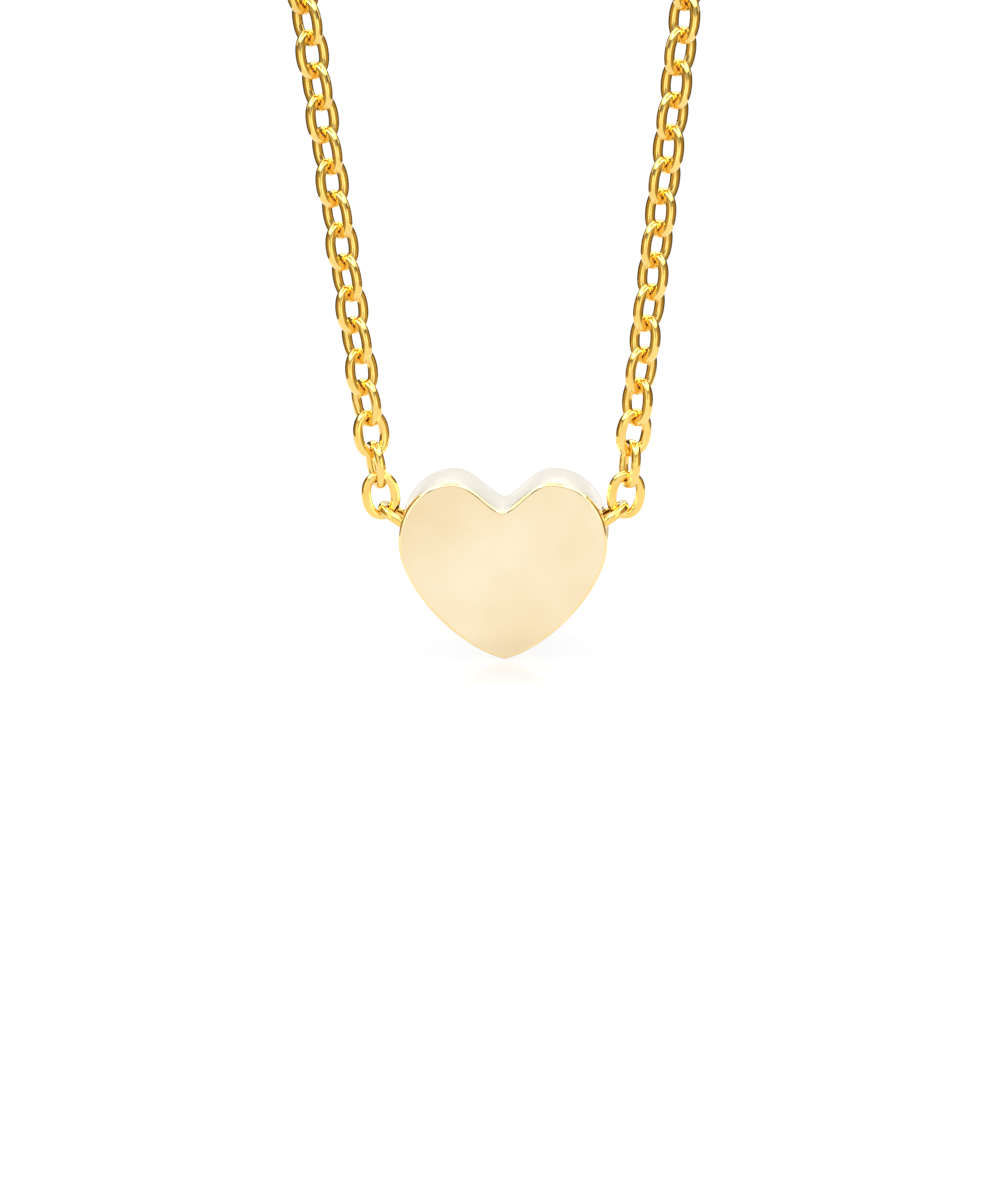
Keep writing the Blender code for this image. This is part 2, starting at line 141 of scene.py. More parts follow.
# The part of a noise texture's values that is spread over a range, and the part where its colours change
NOISE_RANGE = (0.3, 0.7)
DRIFT_FROM, DRIFT_TO = 0.32, 0.68

# Scales of a metal's noises, as multiples of its colour drift's, how much detail each has, how hairline
# scratches are stretched and how high a bump of 1 stands
PATCH_SCALE, SOFT_SCALE, HAIR_SCALE = 2.3, 0.8, 6.0
DRIFT_DETAIL, PATCH_DETAIL, BUMP_DETAIL = 3.0, 4.0, 2.0
HAIR_STRETCH = (1.0, 9.0, 0.6)
BUMP_HEIGHT = 1.0 * MM
COAT_IOR = 1.6


def new_material(name):
    mat = bpy.data.materials.new(name)
    mat.use_nodes = True
    return mat, mat.node_tree.nodes, mat.node_tree.links, mat.node_tree.nodes["Principled BSDF"]


def noise(nodes, links, scale, detail, stretch=None):
    """A noise texture in object space, optionally stretched along an axis."""
    coords = nodes.new("ShaderNodeTexCoord")
    texture = nodes.new("ShaderNodeTexNoise")
    texture.inputs["Scale"].default_value = scale
    texture.inputs["Detail"].default_value = detail
    if stretch is None:
        links.new(coords.outputs["Object"], texture.inputs["Vector"])
        return texture.outputs["Fac"]
    mapping = nodes.new("ShaderNodeMapping")
    mapping.inputs["Scale"].default_value = stretch
    links.new(coords.outputs["Object"], mapping.inputs["Vector"])
    links.new(mapping.outputs["Vector"], texture.inputs["Vector"])
    return texture.outputs["Fac"]


def ramp(nodes, links, source, stops):
    """Colours along a value: stops are (position, colour)."""
    node = nodes.new("ShaderNodeValToRGB")
    node.color_ramp.elements[0].position = stops[0][0]
    node.color_ramp.elements[0].color = (*stops[0][1], 1.0)
    node.color_ramp.elements[1].position = stops[-1][0]
    node.color_ramp.elements[1].color = (*stops[-1][1], 1.0)
    for position, color in stops[1:-1]:
        node.color_ramp.elements.new(position).color = (*color, 1.0)
    links.new(source, node.inputs["Fac"])
    return node.outputs["Color"]


def map_range(nodes, links, source, from_range, to_range):
    """A node that maps a value from one range onto another."""
    node = nodes.new("ShaderNodeMapRange")
    node.inputs["From Min"].default_value, node.inputs["From Max"].default_value = from_range
    node.inputs["To Min"].default_value, node.inputs["To Max"].default_value = to_range
    links.new(source, node.inputs["Value"])
    return node


def spread(nodes, links, source, low, high):
    """Map a noise value onto a range."""
    return map_range(nodes, links, source, NOISE_RANGE, (low, high)).outputs["Result"]


def bump(nodes, links, shader, first, second):
    """Add two heights up into one fine bump."""
    add = nodes.new("ShaderNodeMath")
    add.operation = "ADD"
    links.new(first, add.inputs[0])
    links.new(second, add.inputs[1])
    node = nodes.new("ShaderNodeBump")
    node.inputs["Strength"].default_value = 1.0
    node.inputs["Distance"].default_value = BUMP_HEIGHT
    links.new(add.outputs["Value"], node.inputs["Height"])
    links.new(node.outputs["Normal"], shader.inputs["Normal"])


def polished_metal(name, dark, light, drift_scale, rough, wave, scratch):
    """Polished plate: slow colour drift, roughness in patches, soft waviness and hairline scratches."""
    mat, nodes, links, shader = new_material(name)
    shader.inputs["Metallic"].default_value = 1.0
    drift = noise(nodes, links, drift_scale, DRIFT_DETAIL)
    colors = ramp(nodes, links, drift, ((DRIFT_FROM, dark), (DRIFT_TO, light)))
    links.new(colors, shader.inputs["Base Color"])
    patches = noise(nodes, links, drift_scale * PATCH_SCALE, PATCH_DETAIL)
    links.new(spread(nodes, links, patches, *rough), shader.inputs["Roughness"])
    soft = noise(nodes, links, drift_scale * SOFT_SCALE, BUMP_DETAIL)
    hair = noise(nodes, links, drift_scale * HAIR_SCALE, BUMP_DETAIL, HAIR_STRETCH)
    soft_part = spread(nodes, links, soft, 0.0, wave)
    hair_part = spread(nodes, links, hair, 0.0, scratch)
    bump(nodes, links, shader, soft_part, hair_part)
    return mat


def lacquer(mat, amount, rough):
    """A clear coat, which turns the strongest highlights from gold to cream."""
    shader = mat.node_tree.nodes["Principled BSDF"]
    shader.inputs["Coat Weight"].default_value = amount
    shader.inputs["Coat Roughness"].default_value = rough
    shader.inputs["Coat IOR"].default_value = COAT_IOR


# Each metal: its two colours, the scale of their drift, lowest and highest roughness, waviness, scratches
CHAIN_GOLD = polished_metal(
    "chain_gold", (0.86, 0.57, 0.11), (0.95, 0.67, 0.19), 700.0, (0.07, 0.13), 0.0004, 0.0)
HEART_FACE = polished_metal(
    "heart_face", (0.83, 0.65, 0.38), (0.93, 0.81, 0.59), 125.0, (0.13, 0.22), 0.004, 0.0)
HEART_RIM = polished_metal(
    "heart_rim", (0.92, 0.70, 0.36), (0.99, 0.80, 0.48), 400.0, (0.05, 0.10), 0.003, 0.0)
# Painted light: the side wall is the same metal as the face, given a paler, near-white colour for the light
# it catches
HEART_SIDE_PAINTED_LIGHT = polished_metal(
    "heart_side_painted_light", (0.93, 0.87, 0.75), (1.0, 0.94, 0.83), 260.0, (0.20, 0.30), 0.003, 0.0)
# Painted shade: the hole is the same metal, given a darker colour for the shade inside it
HEART_BORE_PAINTED_SHADE = polished_metal(
    "heart_bore_painted_shade", (0.62, 0.43, 0.16), (0.78, 0.56, 0.24), 700.0, (0.22, 0.38), 0.006, 0.004)
CLASP_GOLD = polished_metal(
    "clasp_gold", (0.92, 0.66, 0.26), (0.99, 0.76, 0.35), 500.0, (0.08, 0.17), 0.006, 0.003)
SPRING_STEEL = polished_metal(
    "spring_steel", (0.50, 0.50, 0.51), (0.66, 0.66, 0.67), 800.0, (0.24, 0.36), 0.004, 0.006)
lacquer(CHAIN_GOLD, 0.75, 0.06)


# ---------------------------------------------------------------- mesh helpers

def add_object(name, data, place=(0.0, 0.0, 0.0)):
    obj = bpy.data.objects.new(name, data)
    obj.location = place
    bpy.context.scene.collection.objects.link(obj)
    return obj


def declare(obj, body, node):
    """Let a finished piece ride on a body and stand for its CAD node."""
    bpy.context.view_layer.update()
    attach(obj, body)
    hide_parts(node)


def mesh_from(work, name):
    """Turn a bmesh into a mesh and free it."""
    mesh = bpy.data.meshes.new(name)
    work.to_mesh(mesh)
    work.free()
    return mesh


def turned(mesh, axis):
    """Turn a mesh a quarter about an axis."""
    mesh.transform(Matrix.Rotation(math.radians(90.0), 4, axis))
    return mesh


def power(value, exponent):
    return math.copysign(abs(value) ** exponent, value)


def loft_closed(name, rings):
    """A closed tube through rings of points, its last ring joined to its first."""
    count = len(rings[0])
    verts = [point for ring in rings for point in ring]
    faces = []
    for i in range(len(rings)):
        here = i * count
        there = (i + 1) % len(rings) * count
        for j in range(count):
            after = (j + 1) % count
            faces.append((here + j, here + after, there + after, there + j))
    mesh = bpy.data.meshes.new(name)
    mesh.from_pydata(verts, [], faces)
    mesh.shade_smooth()
    mesh.update()
    return mesh


def link_mesh(name, around, across):
    """One oval link of softly squared wire, wider at its sides than at its ends."""
    bend = LINK_FULLNESS - 1.0
    rings = []
    for i in range(around):
        turn = 2.0 * math.pi * (i + 0.5) / around
        x = LINK_HALF_W * power(math.cos(turn), 2.0 / LINK_FULLNESS)
        z = LINK_HALF_L * power(math.sin(turn), 2.0 / LINK_FULLNESS)
        outward = Vector((power(x / LINK_HALF_W, bend) / LINK_HALF_W, 0.0,
                          power(z / LINK_HALF_L, bend) / LINK_HALF_L)).normalized()
        half = WIRE_END + (WIRE_SIDE - WIRE_END) * outward.x ** 2
        ring = []
        for j in range(across):
            angle = 2.0 * math.pi * (j + 0.5) / across
            out = half * power(math.cos(angle), 2.0 / WIRE_SQUARENESS)
            flat = WIRE_THICK * power(math.sin(angle), 2.0 / WIRE_SQUARENESS)
            ring.append(Vector((x, 0.0, z)) + outward * out + Vector((0.0, flat, 0.0)))
        rings.append(ring)
    return loft_closed(name, rings)


def own_axes(node):
    """A CAD link's own axes, from the spread of its points: across, through, along."""
    points = np.array([vert.co for vert in frame["nodes"][node].data.vertices])
    points -= points.mean(axis=0)
    _values, vectors = np.linalg.eigh(points.T @ points)
    through = Vector(vectors[:, 0])
    across = Vector(vectors[:, 1])
    along = Vector(vectors[:, 2])
    if along.z < 0.0:
        along.negate()
    if through.cross(along).dot(across) < 0.0:
        through.negate()
    return across, through, along


def axes_matrix(across, through, along, place):
    turn = Matrix((across, through, along)).transposed()
    return Matrix.Translation(place) @ turn.to_4x4()


# ---------------------------------------------------------------- chain

def build_link_pieces():
    """The links that are CAD nodes of their own, each placed on its node's axes."""
    mesh = link_mesh("link", *LINK_STEPS)
    mesh.materials.append(CHAIN_GOLD)
    words = ("left", "right")
    rows = [(f"{word}_link_{row:02d}", f"row_{row:02d}") for word in words for row in range(1, ROWS + 1)]
    rows += [(f"entry_link_{word}", "row_01") for word in words]
    rows += [(f"bore_link_{index}", "row_01") for index in range(1, BORE_LINKS + 1)]
    for node, body in rows:
        link = add_object(node + "_fine", mesh)
        link.matrix_world = axes_matrix(*own_axes(node), middle(node))
        declare(link, body, node)


class Strand:
    """The chain's path on one side: a straight strand up from the first link, then the arc at the nape."""

    def __init__(self, side):
        word = "left" if side < 0 else "right"
        self.side = side
        self.first = middle(f"{word}_link_01")
        top = middle(f"{word}_link_{ROWS:02d}")
        self.up = (top - self.first).normalized()
        self.lean = math.atan2(abs(self.up.x), self.up.z)
        self.straight = (LOOP_R * math.cos(self.lean) - abs(self.first.x)) / math.sin(self.lean)
        tangent = self.first + self.up * self.straight
        self.centre = Vector((0.0, 0.0, tangent.z + LOOP_R * math.sin(self.lean)))

    def at(self, along):
        """Point and direction at a distance along the path."""
        if along <= self.straight:
            return self.first + self.up * along, self.up.copy()
        angle = math.radians(90.0) + self.lean - (along - self.straight) / LOOP_R
        place = self.centre + LOOP_R * Vector((self.side * math.sin(angle), 0.0, math.cos(angle)))
        return place, Vector((-self.side * math.cos(angle), 0.0, math.sin(angle)))

    def length_to(self, angle):
        """Distance along the path to an angle of the arc, measured from straight up."""
        return self.straight + LOOP_R * (math.radians(90.0) + self.lean - angle)


def add_link(work, source, place, direction, twist):
    """Copy the link mesh into a bmesh, along a direction and turned by twist about it."""
    tilt = math.atan2(direction.x, direction.z)
    turn = Matrix.Rotation(tilt, 4, "Y") @ Matrix.Rotation(math.radians(twist), 4, "Z")
    before = len(work.verts)
    work.from_mesh(source)
    work.verts.ensure_lookup_table()
    bmesh.ops.transform(work, matrix=Matrix.Translation(place) @ turn, verts=work.verts[before:])


def row_twist(row):
    """Links turn to one side and the other of the chain's plane by turns."""
    return TWIST if row % 2 else -TWIST


def build_runs():
    """Real links for the chain above the last modelled row, one piece for each CAD run."""
    source = link_mesh("far_link", *FAR_LINK_STEPS)
    last_row = RUNS[-1][2]
    for side, word, ring, wire in ((-1, "left", JUMP_R, JUMP_WIRE), (1, "right", CATCH_R, CATCH_WIRE)):
        strand = Strand(side)
        for name, first, last in RUNS:
            work = bmesh.new()
            for row in range(first, last + 1):
                place, direction = strand.at((row - 1) * PITCH)
                add_link(work, source, place, direction, row_twist(row))
            add_run(work, f"{name}_{word}", name)
        start = last_row * PITCH
        inside = 2.0 * ring - wire - WIRE_END - RING_PLAY
        ring_angle = math.asin(CLASP_HALF / LOOP_R) + inside / LOOP_R
        end = strand.length_to(ring_angle) - LINK_HALF_L
        count = round((end - start) / PITCH)
        work = bmesh.new()
        for step in range(count + 1):
            place, direction = strand.at(start + (end - start) * step / count)
            twist = 90.0 if step == count else row_twist(last_row + 1 + step)
            add_link(work, source, place, direction, twist)
        add_run(work, f"neck_chain_{word}", "neck_loop")


def add_run(work, node, body):
    mesh = mesh_from(work, node)
    mesh.shade_smooth()
    mesh.materials.append(CHAIN_GOLD)
    declare(add_object(node + "_links", mesh), body, node)


# ---------------------------------------------------------------- heart bead

def heart_outline():
    """Right half of the outline as Bezier points: position, handle before, handle after."""
    rise = math.radians(TIP_ANGLE)
    across = Vector((1.0, 0.0))
    up = Vector((0.0, 1.0))
    return [
        (HEART_TIP, None, HEART_TIP + TIP_REACH * Vector((math.cos(rise), math.sin(rise)))),
        (HEART_WIDE, HEART_WIDE - WIDE_REACH_DOWN * up, HEART_WIDE + WIDE_REACH_UP * up),
        (HEART_LOBE, HEART_LOBE + LOBE_REACH_OUT * across, HEART_LOBE - LOBE_REACH_IN * across),
        (HEART_NOTCH, HEART_NOTCH + NOTCH_REACH * across, None),
    ]


def mirrored(point):
    return Vector((-point.x, point.y))


def heart_curve():
    curve = bpy.data.curves.new("heart_outline", "CURVE")
    curve.dimensions = "2D"
    curve.fill_mode = "BOTH"
    curve.extrude = HEART_T / 2.0 - HEART_EDGE
    curve.bevel_depth = HEART_EDGE
    curve.bevel_resolution = 4
    curve.offset = -HEART_EDGE
    curve.resolution_u = 40
    spline = curve.splines.new("BEZIER")
    tip, wide, lobe, notch = heart_outline()
    spline.bezier_points.add(5)
    knots = [
        (tip[0], mirrored(tip[2]), tip[2]),
        wide,
        lobe,
        (notch[0], notch[1], mirrored(notch[1])),
        (mirrored(lobe[0]), mirrored(lobe[2]), mirrored(lobe[1])),
        (mirrored(wide[0]), mirrored(wide[2]), mirrored(wide[1])),
    ]
    for point, (place, before, after) in zip(spline.bezier_points, knots):
        point.handle_left_type = "FREE"
        point.handle_right_type = "FREE"
        point.co = (*place, 0.0)
        point.handle_left = (*before, 0.0)
        point.handle_right = (*after, 0.0)
    spline.use_cyclic_u = True
    return curve


def mesh_of_curve(curve, name):
    """A curve's solid as a closed mesh."""
    holder = add_object("holder_" + name, curve)
    graph = bpy.context.evaluated_depsgraph_get()
    mesh = bpy.data.meshes.new_from_object(holder.evaluated_get(graph))
    bpy.data.objects.remove(holder, do_unlink=True)
    mesh.name = name
    work = bmesh.new()
    work.from_mesh(mesh)
    bmesh.ops.remove_doubles(work, verts=work.verts, dist=WELD)
    bmesh.ops.recalc_face_normals(work, faces=work.faces)
    work.to_mesh(mesh)
    work.free()
    return mesh


def cone(radius_low, radius_high, length, steps, axis, place):
    """A closed cone or cylinder along X or Z."""
    work = bmesh.new()
    bmesh.ops.create_cone(
        work, cap_ends=True, segments=steps, radius1=radius_low, radius2=radius_high, depth=length)
    mesh = mesh_from(work, "cutter")
    if axis == "X":
        turned(mesh, "Y")
    return add_object("cutter", mesh, place)


def cut(target, tools, operation="DIFFERENCE"):
    """Apply Booleans one after another and remove the tools."""
    for tool in tools:
        mod = target.modifiers.new("boolean", "BOOLEAN")
        mod.operation = operation
        mod.solver = "EXACT"
        mod.object = tool
    settle(target)
    for tool in tools:
        bpy.data.objects.remove(tool, do_unlink=True)


def settle(obj):
    """Apply an object's modifiers."""
    bpy.context.view_layer.update()
    graph = bpy.context.evaluated_depsgraph_get()
    mesh = bpy.data.meshes.new_from_object(obj.evaluated_get(graph))
    obj.modifiers.clear()
    obj.data = mesh


def build_heart():
    heart = add_object("heart_fine", turned(mesh_of_curve(heart_curve(), "heart_fine"), "X"), BORE)
    half_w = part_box("heart_bead")[1].x
    tools = [cone(BORE_R, BORE_R, 4.0 * half_w, HOLE_STEPS, "X", BORE)]
    # A mouth's cone goes on outside the heart, as far again as it is deep
    reach = 2.0 * MOUTH_DEPTH
    wide = 2.0 * MOUTH_R - BORE_R
    for side in (-1, 1):
        low, high = (BORE_R, wide) if side > 0 else (wide, BORE_R)
        place = BORE + Vector((side * (half_w - MOUTH_DEPTH + reach / 2.0), 0.0, 0.0))
        tools.append(cone(low, high, reach, HOLE_STEPS, "X", place))
    cut(heart, tools)
    mesh = heart.data
    # The side wall takes a paler copy of the metal, which is painted light, and the hole a darker one,
    # which is painted shade
    for material in (HEART_FACE, HEART_RIM, HEART_SIDE_PAINTED_LIGHT, HEART_BORE_PAINTED_SHADE):
        mesh.materials.append(material)
    for face in mesh.polygons:
        face.material_index = heart_zone(face)
    mesh.shade_smooth()
    mesh.set_sharp_from_angle(angle=HEART_CREASE)
    keep_faces_flat(mesh)
    weight = heart.modifiers.new("even_shading", "WEIGHTED_NORMAL")
    weight.keep_sharp = True
    weight.weight = 100
    settle(heart)
    declare(heart, "heart", "heart_bead")


def keep_faces_flat(mesh):
    """Mark the rims of the flat faces as sharp, so that the polished edge does not bend their shading."""
    beside = {}
    for face in mesh.polygons:
        for key in face.edge_keys:
            beside.setdefault(key, set()).add(face.material_index)
    for edge in mesh.edges:
        if FACE in beside[edge.key] and len(beside[edge.key]) > 1:
            edge.use_edge_sharp = True


def heart_zone(face):
    """The zone that a polygon lies in: a flat face, the polished edge, the side wall or the hole."""
    below = HEART_T / 2.0 - abs(face.center.y)
    if abs(face.normal.y) > FLAT_NORMAL and below < FLAT_DEPTH:
        return FACE
    if math.hypot(face.center.y, face.center.z) < BORE_R + HOLE_MARGIN:
        return HOLE
    if below < HEART_EDGE * EDGE_MARGIN:
        return EDGE
    return SIDE


# ---------------------------------------------------------------- rings and clasp

# Where the jump ring is cut, in degrees round it, and how far its ends stand apart
SLIT_AT = 75.0
JUMP_SLIT = 0.03 * MM


def ring_mesh(name, radius, wire, around, across, slit=0.0):
    """A round ring in the XZ plane. With a slit it is open, as a jump ring is."""
    if slit == 0.0:
        rings = []
        for i in range(around):
            turn = 2.0 * math.pi * i / around
            rings.append(ring_section(radius, wire, across, turn))
        return loft_closed(name, rings)
    work = bmesh.new()
    half_slit = slit / radius / 2.0
    rows = []
    for i in range(around + 1):
        turn = math.radians(SLIT_AT) + half_slit + (2.0 * math.pi - 2.0 * half_slit) * i / around
        rows.append([work.verts.new(point) for point in ring_section(radius, wire, across, turn)])
    for first, second in zip(rows, rows[1:]):
        for j in range(across):
            after = (j + 1) % across
            work.faces.new((first[j], first[after], second[after], second[j]))
    work.faces.new(rows[0][::-1])
    work.faces.new(rows[-1])
    bmesh.ops.recalc_face_normals(work, faces=work.faces)
    mesh = mesh_from(work, name)
    mesh.shade_smooth()
    mesh.set_sharp_from_angle(angle=RING_CREASE)
    return mesh


def ring_section(radius, wire, across, turn):
    """Points round a ring's wire at one turn of the ring."""
    outward = Vector((math.cos(turn), 0.0, math.sin(turn)))
    points = []
    for j in range(across):
        angle = 2.0 * math.pi * j / across
        out = outward * (radius + wire * math.cos(angle))
        points.append(out + Vector((0.0, wire * math.sin(angle), 0.0)))
    return points


def build_rings():
    rings = (("jump_ring", JUMP_R, JUMP_WIRE, JUMP_SLIT), ("catch_ring", CATCH_R, CATCH_WIRE, 0.0))
    for node, radius, wire, slit in rings:
        mesh = ring_mesh(node + "_fine", radius, wire, *RING_STEPS, slit)
        mesh.materials.append(CLASP_GOLD)
        declare(add_object(node + "_fine", mesh, middle(node)), node, node)


# Clasp plan, from its middle, in millimetres: x, y and wire radius of the hook
CLASP_HOOK = (
    (-2.4, 0.35, 0.95), (-1.2, 0.95, 1.02), (0.3, 1.45, 1.0), (2.0, 1.65, 0.92), (3.5, 1.5, 0.8),
    (4.6, 1.1, 0.68), (5.16, 0.4, 0.6), (5.18, -0.4, 0.58), (4.9, -1.05, 0.56), (4.35, -1.5, 0.54),
    (3.85, -1.68, 0.45), (3.6, -1.72, 0.2),
)
CLASP_T = 2.4 * MM
EYE_X, EYE_R, EYE_WIRE = -3.9 * MM, 0.86 * MM, 0.34 * MM

# The round body at the claw's root, from the lever's pin, and the slot in which the lever moves
ROOT_X, ROOT_Y = -0.1 * MM, 0.35 * MM
ROOT_R, ROOT_T, ROOT_EDGE = 1.5 * MM, CLASP_T - 0.06 * MM, 0.35 * MM
SLOT_X, SLOT_Y = 1.15 * MM, -1.35 * MM
SLOT_SIZE = (4.3 * MM, 3.5 * MM, 1.0 * MM)

# The pin, its play in the claw and in the lever, how far each hole is drilled, and the lever's round end
# about the pin and half its thickness
PIN_R, PIN_LENGTH, PIN_EDGE = 0.25 * MM, CLASP_T - 0.1 * MM, 0.06 * MM
CLAW_PLAY, CLAW_DRILL = 0.02 * MM, 4.0 * MM
LEVER_PLAY, LEVER_DRILL = 0.03 * MM, 3.0 * MM
LEVER_R, LEVER_HALF = 0.62 * MM, 0.4 * MM
DRILL_STEPS = 48

# Size of the cells in which the claw and the lever are cast, and how strongly the casting is smoothed
CLAW_CELL, LEVER_CELL = 0.045 * MM, 0.035 * MM
CAST_SMOOTHING = 0.6

# The leaf spring: half its width, its thickness and its rounded edge
SPRING_HALF, SPRING_T, SPRING_EDGE = 0.3 * MM, 0.1 * MM, 0.02 * MM

# Outlines of the lever, from its pin, and of the spring, from the clasp's middle, in millimetres
LEVER_PLAN = (
    (0.45, 0.35), (1.4, 0.33), (2.8, 0.07), (4.3, -0.2), (4.7, -0.42), (4.72, -0.7), (4.3, -0.85),
    (2.6, -0.65), (1.5, -0.62), (1.0, -1.05), (0.6, -1.2), (0.25, -0.95), (0.1, -0.45),
)
SPRING_PLAN = ((-2.35, 0.02), (-1.9, 0.16), (-1.2, 0.16), (-0.7, 0.05))


def smooth_curve(name, plan, radii, cyclic):
    """A Bezier curve with automatic handles through points given in millimetres."""
    curve = bpy.data.curves.new(name, "CURVE")
    curve.dimensions = "3D" if radii else "2D"
    curve.resolution_u = 8
    spline = curve.splines.new("BEZIER")
    spline.bezier_points.add(len(plan) - 1)
    for index, place in enumerate(plan):
        point = spline.bezier_points[index]
        point.co = (place[0] * MM, place[1] * MM, 0.0)
        point.handle_left_type = "AUTO"
        point.handle_right_type = "AUTO"
        if radii:
            point.radius = radii[index]
    spline.use_cyclic_u = cyclic
    return curve


def build_claw():
    curve = smooth_curve("hook", CLASP_HOOK, [radius for _x, _y, radius in CLASP_HOOK], False)
    curve.bevel_depth = MM
    curve.bevel_resolution = 8
    curve.use_fill_caps = True
    claw = add_object("clasp_claw_fine", mesh_of_curve(curve, "hook"), CLASP_AT)
    root_at = Vector((LEVER_PIN.x + ROOT_X, LEVER_PIN.y + ROOT_Y, CLASP_AT.z))
    root = cone(ROOT_R, ROOT_R, ROOT_T, 64, "Z", root_at)
    soften(root, ROOT_EDGE, 4)
    eye_mesh = turned(ring_mesh("eye", EYE_R, EYE_WIRE, *EYE_STEPS), "X")
    eye = add_object("eye", eye_mesh, CLASP_AT + Vector((EYE_X, 0.0, 0.0)))
    cut(claw, [root, eye], "UNION")
    work = bmesh.new()
    bmesh.ops.create_cube(work, size=1.0)
    bmesh.ops.scale(work, vec=SLOT_SIZE, verts=work.verts)
    slot = add_object("slot", mesh_from(work, "slot"), Vector((LEVER_PIN.x + SLOT_X, SLOT_Y, CLASP_AT.z)))
    hole_r = PIN_R + CLAW_PLAY
    cut(claw, [slot, cone(hole_r, hole_r, CLAW_DRILL, DRILL_STEPS, "Z", LEVER_PIN)])
    cast(claw, CLAW_CELL, 6)
    finish_gold(claw, "clasp_claw", "neck_loop")


def cast(obj, voxel, rounds):
    """Melt the joined solids into one casting with soft inner corners."""
    remesh = obj.modifiers.new("cast", "REMESH")
    remesh.mode = "VOXEL"
    remesh.voxel_size = voxel
    relax = obj.modifiers.new("relax", "SMOOTH")
    relax.factor = CAST_SMOOTHING
    relax.iterations = rounds
    settle(obj)


def finish_gold(obj, node, body):
    obj.data.materials.clear()
    obj.data.materials.append(CLASP_GOLD)
    obj.data.shade_smooth()
    declare(obj, body, node)


def soften(obj, width, segments):
    """Round an object's edges."""
    mod = obj.modifiers.new("soft_edge", "BEVEL")
    mod.width = width
    mod.segments = segments
    mod.limit_method = "ANGLE"
    settle(obj)


def build_lever():
    curve = smooth_curve("lever", LEVER_PLAN, None, True)
    curve.fill_mode = "BOTH"
    curve.extrude = LEVER_HALF
    lever = add_object("clasp_lever_fine", mesh_of_curve(curve, "lever"), LEVER_PIN)
    cut(lever, [cone(LEVER_R, LEVER_R, 2.0 * LEVER_HALF, DRILL_STEPS, "Z", LEVER_PIN)], "UNION")
    hole_r = PIN_R + LEVER_PLAY
    cut(lever, [cone(hole_r, hole_r, LEVER_DRILL, DRILL_STEPS, "Z", LEVER_PIN)])
    cast(lever, LEVER_CELL, 5)
    finish_gold(lever, "clasp_lever", "lever")


def build_pin():
    pin = cone(PIN_R, PIN_R, PIN_LENGTH, 40, "Z", LEVER_PIN)
    soften(pin, PIN_EDGE, 3)
    pin.name = "clasp_pin_fine"
    pin.data.shade_smooth()
    pin.data.set_sharp_from_angle(angle=PIN_CREASE)
    finish_gold(pin, "clasp_pin", "neck_loop")


def build_spring():
    curve = smooth_curve("spring", SPRING_PLAN, None, False)
    curve.extrude = SPRING_HALF
    spring = add_object("clasp_spring_fine", mesh_of_curve(curve, "spring"), CLASP_AT)
    skin = spring.modifiers.new("thickness", "SOLIDIFY")
    skin.thickness = SPRING_T
    skin.offset = 0.0
    settle(spring)
    soften(spring, SPRING_EDGE, 2)
    spring.data.materials.clear()
    spring.data.materials.append(SPRING_STEEL)
    declare(spring, "neck_loop", "clasp_spring")


# ---------------------------------------------------------------- studio

# What reflections see: white soft boxes and dark gaps round the object, from the back over the left and
# the front (0.5) to the right and the back again; and how much of that the overhead light covers, by height
WHITE = (1.0, 1.0, 1.0)
BLACK = (0.0, 0.0, 0.0)
FIFTH = (0.20, 0.20, 0.20)
DARK = (0.05, 0.04, 0.03)
STUDIO_AROUND = (
    (0.0, WHITE), (0.07, WHITE), (0.10, DARK), (0.16, DARK), (0.19, WHITE), (0.27, WHITE), (0.29, DARK),
    (0.35, DARK), (0.37, WHITE), (0.39, WHITE), (0.41, DARK), (0.44, DARK), (0.46, WHITE), (0.54, WHITE),
    (0.56, DARK), (0.59, DARK), (0.61, WHITE), (0.63, WHITE), (0.65, DARK), (0.71, DARK), (0.73, WHITE),
    (0.80, WHITE), (0.83, DARK), (0.90, DARK), (0.93, WHITE), (1.0, WHITE),
)
STUDIO_UP = ((0.50, BLACK), (0.58, WHITE), (0.80, WHITE), (0.90, FIFTH), (1.0, FIFTH))
OVERHEAD = (2.9, 2.85, 2.8)
SEAMLESS = (1.2, 1.2, 1.2)
STUDIO_STRENGTH = 0.9

# The cards beside the chain: how far out they stand, how high above the heart's hole they reach, from where
# to where they go in depth, how bright they are, and their shades along that depth
FLAG_X = 40.0 * MM
FLAG_UP = 30.0 * MM
FLAG_NEAR, FLAG_FAR = -90.0 * MM, 60.0 * MM
FLAG_GLOW = 1.8
FLAG_SHADES = (
    (0.0, (1.0, 0.97, 0.92)), (0.26, (1.0, 0.97, 0.92)), (0.44, (0.30, 0.21, 0.07)),
    (0.58, (0.22, 0.15, 0.04)), (0.67, (0.05, 0.03, 0.01)), (1.0, (0.02, 0.01, 0.0)),
)

# The floor: its size in metres, its distance under the heart, and its polished patch, from where to where
# the polish fades and what each socket goes through there. Its glow is dimmer near the heart, which paints
# a soft shadow round it
FLOOR_SIZE = 3.0
FLOOR_GAP = 0.05 * MM
FLOOR_GREY = 0.12
FLOOR_IOR = 1.55
POLISH_AND_SHADE_NEAR, POLISH_AND_SHADE_FAR = 3.5 * MM, 8.5 * MM
# Painted shade: the lower Emission Strength near the heart darkens the floor round it like a soft shadow
FLOOR_POLISH_AND_SHADE_FADES = (
    ("Roughness", 0.03, 0.6), ("Specular IOR Level", 0.5, 0.0), ("Emission Strength", 0.705, 0.94),
)

# The soft boxes: name, place from the heart's hole in metres, size in metres, watts
SOFT_BOXES = (
    ("key_left", (-0.22, -0.22, 0.38), 0.16, 0.55),
    ("key_right", (0.20, -0.16, 0.42), 0.14, 0.40),
)


def stage_mesh(name, work, mat, place=(0.0, 0.0, 0.0)):
    """Add a finished mesh of the studio, which is not part of the object."""
    mesh = mesh_from(work, name)
    mesh.materials.append(mat)
    obj = add_object(name, mesh, place)
    return obj


def grey(shade):
    return (shade, shade, shade, 1.0)


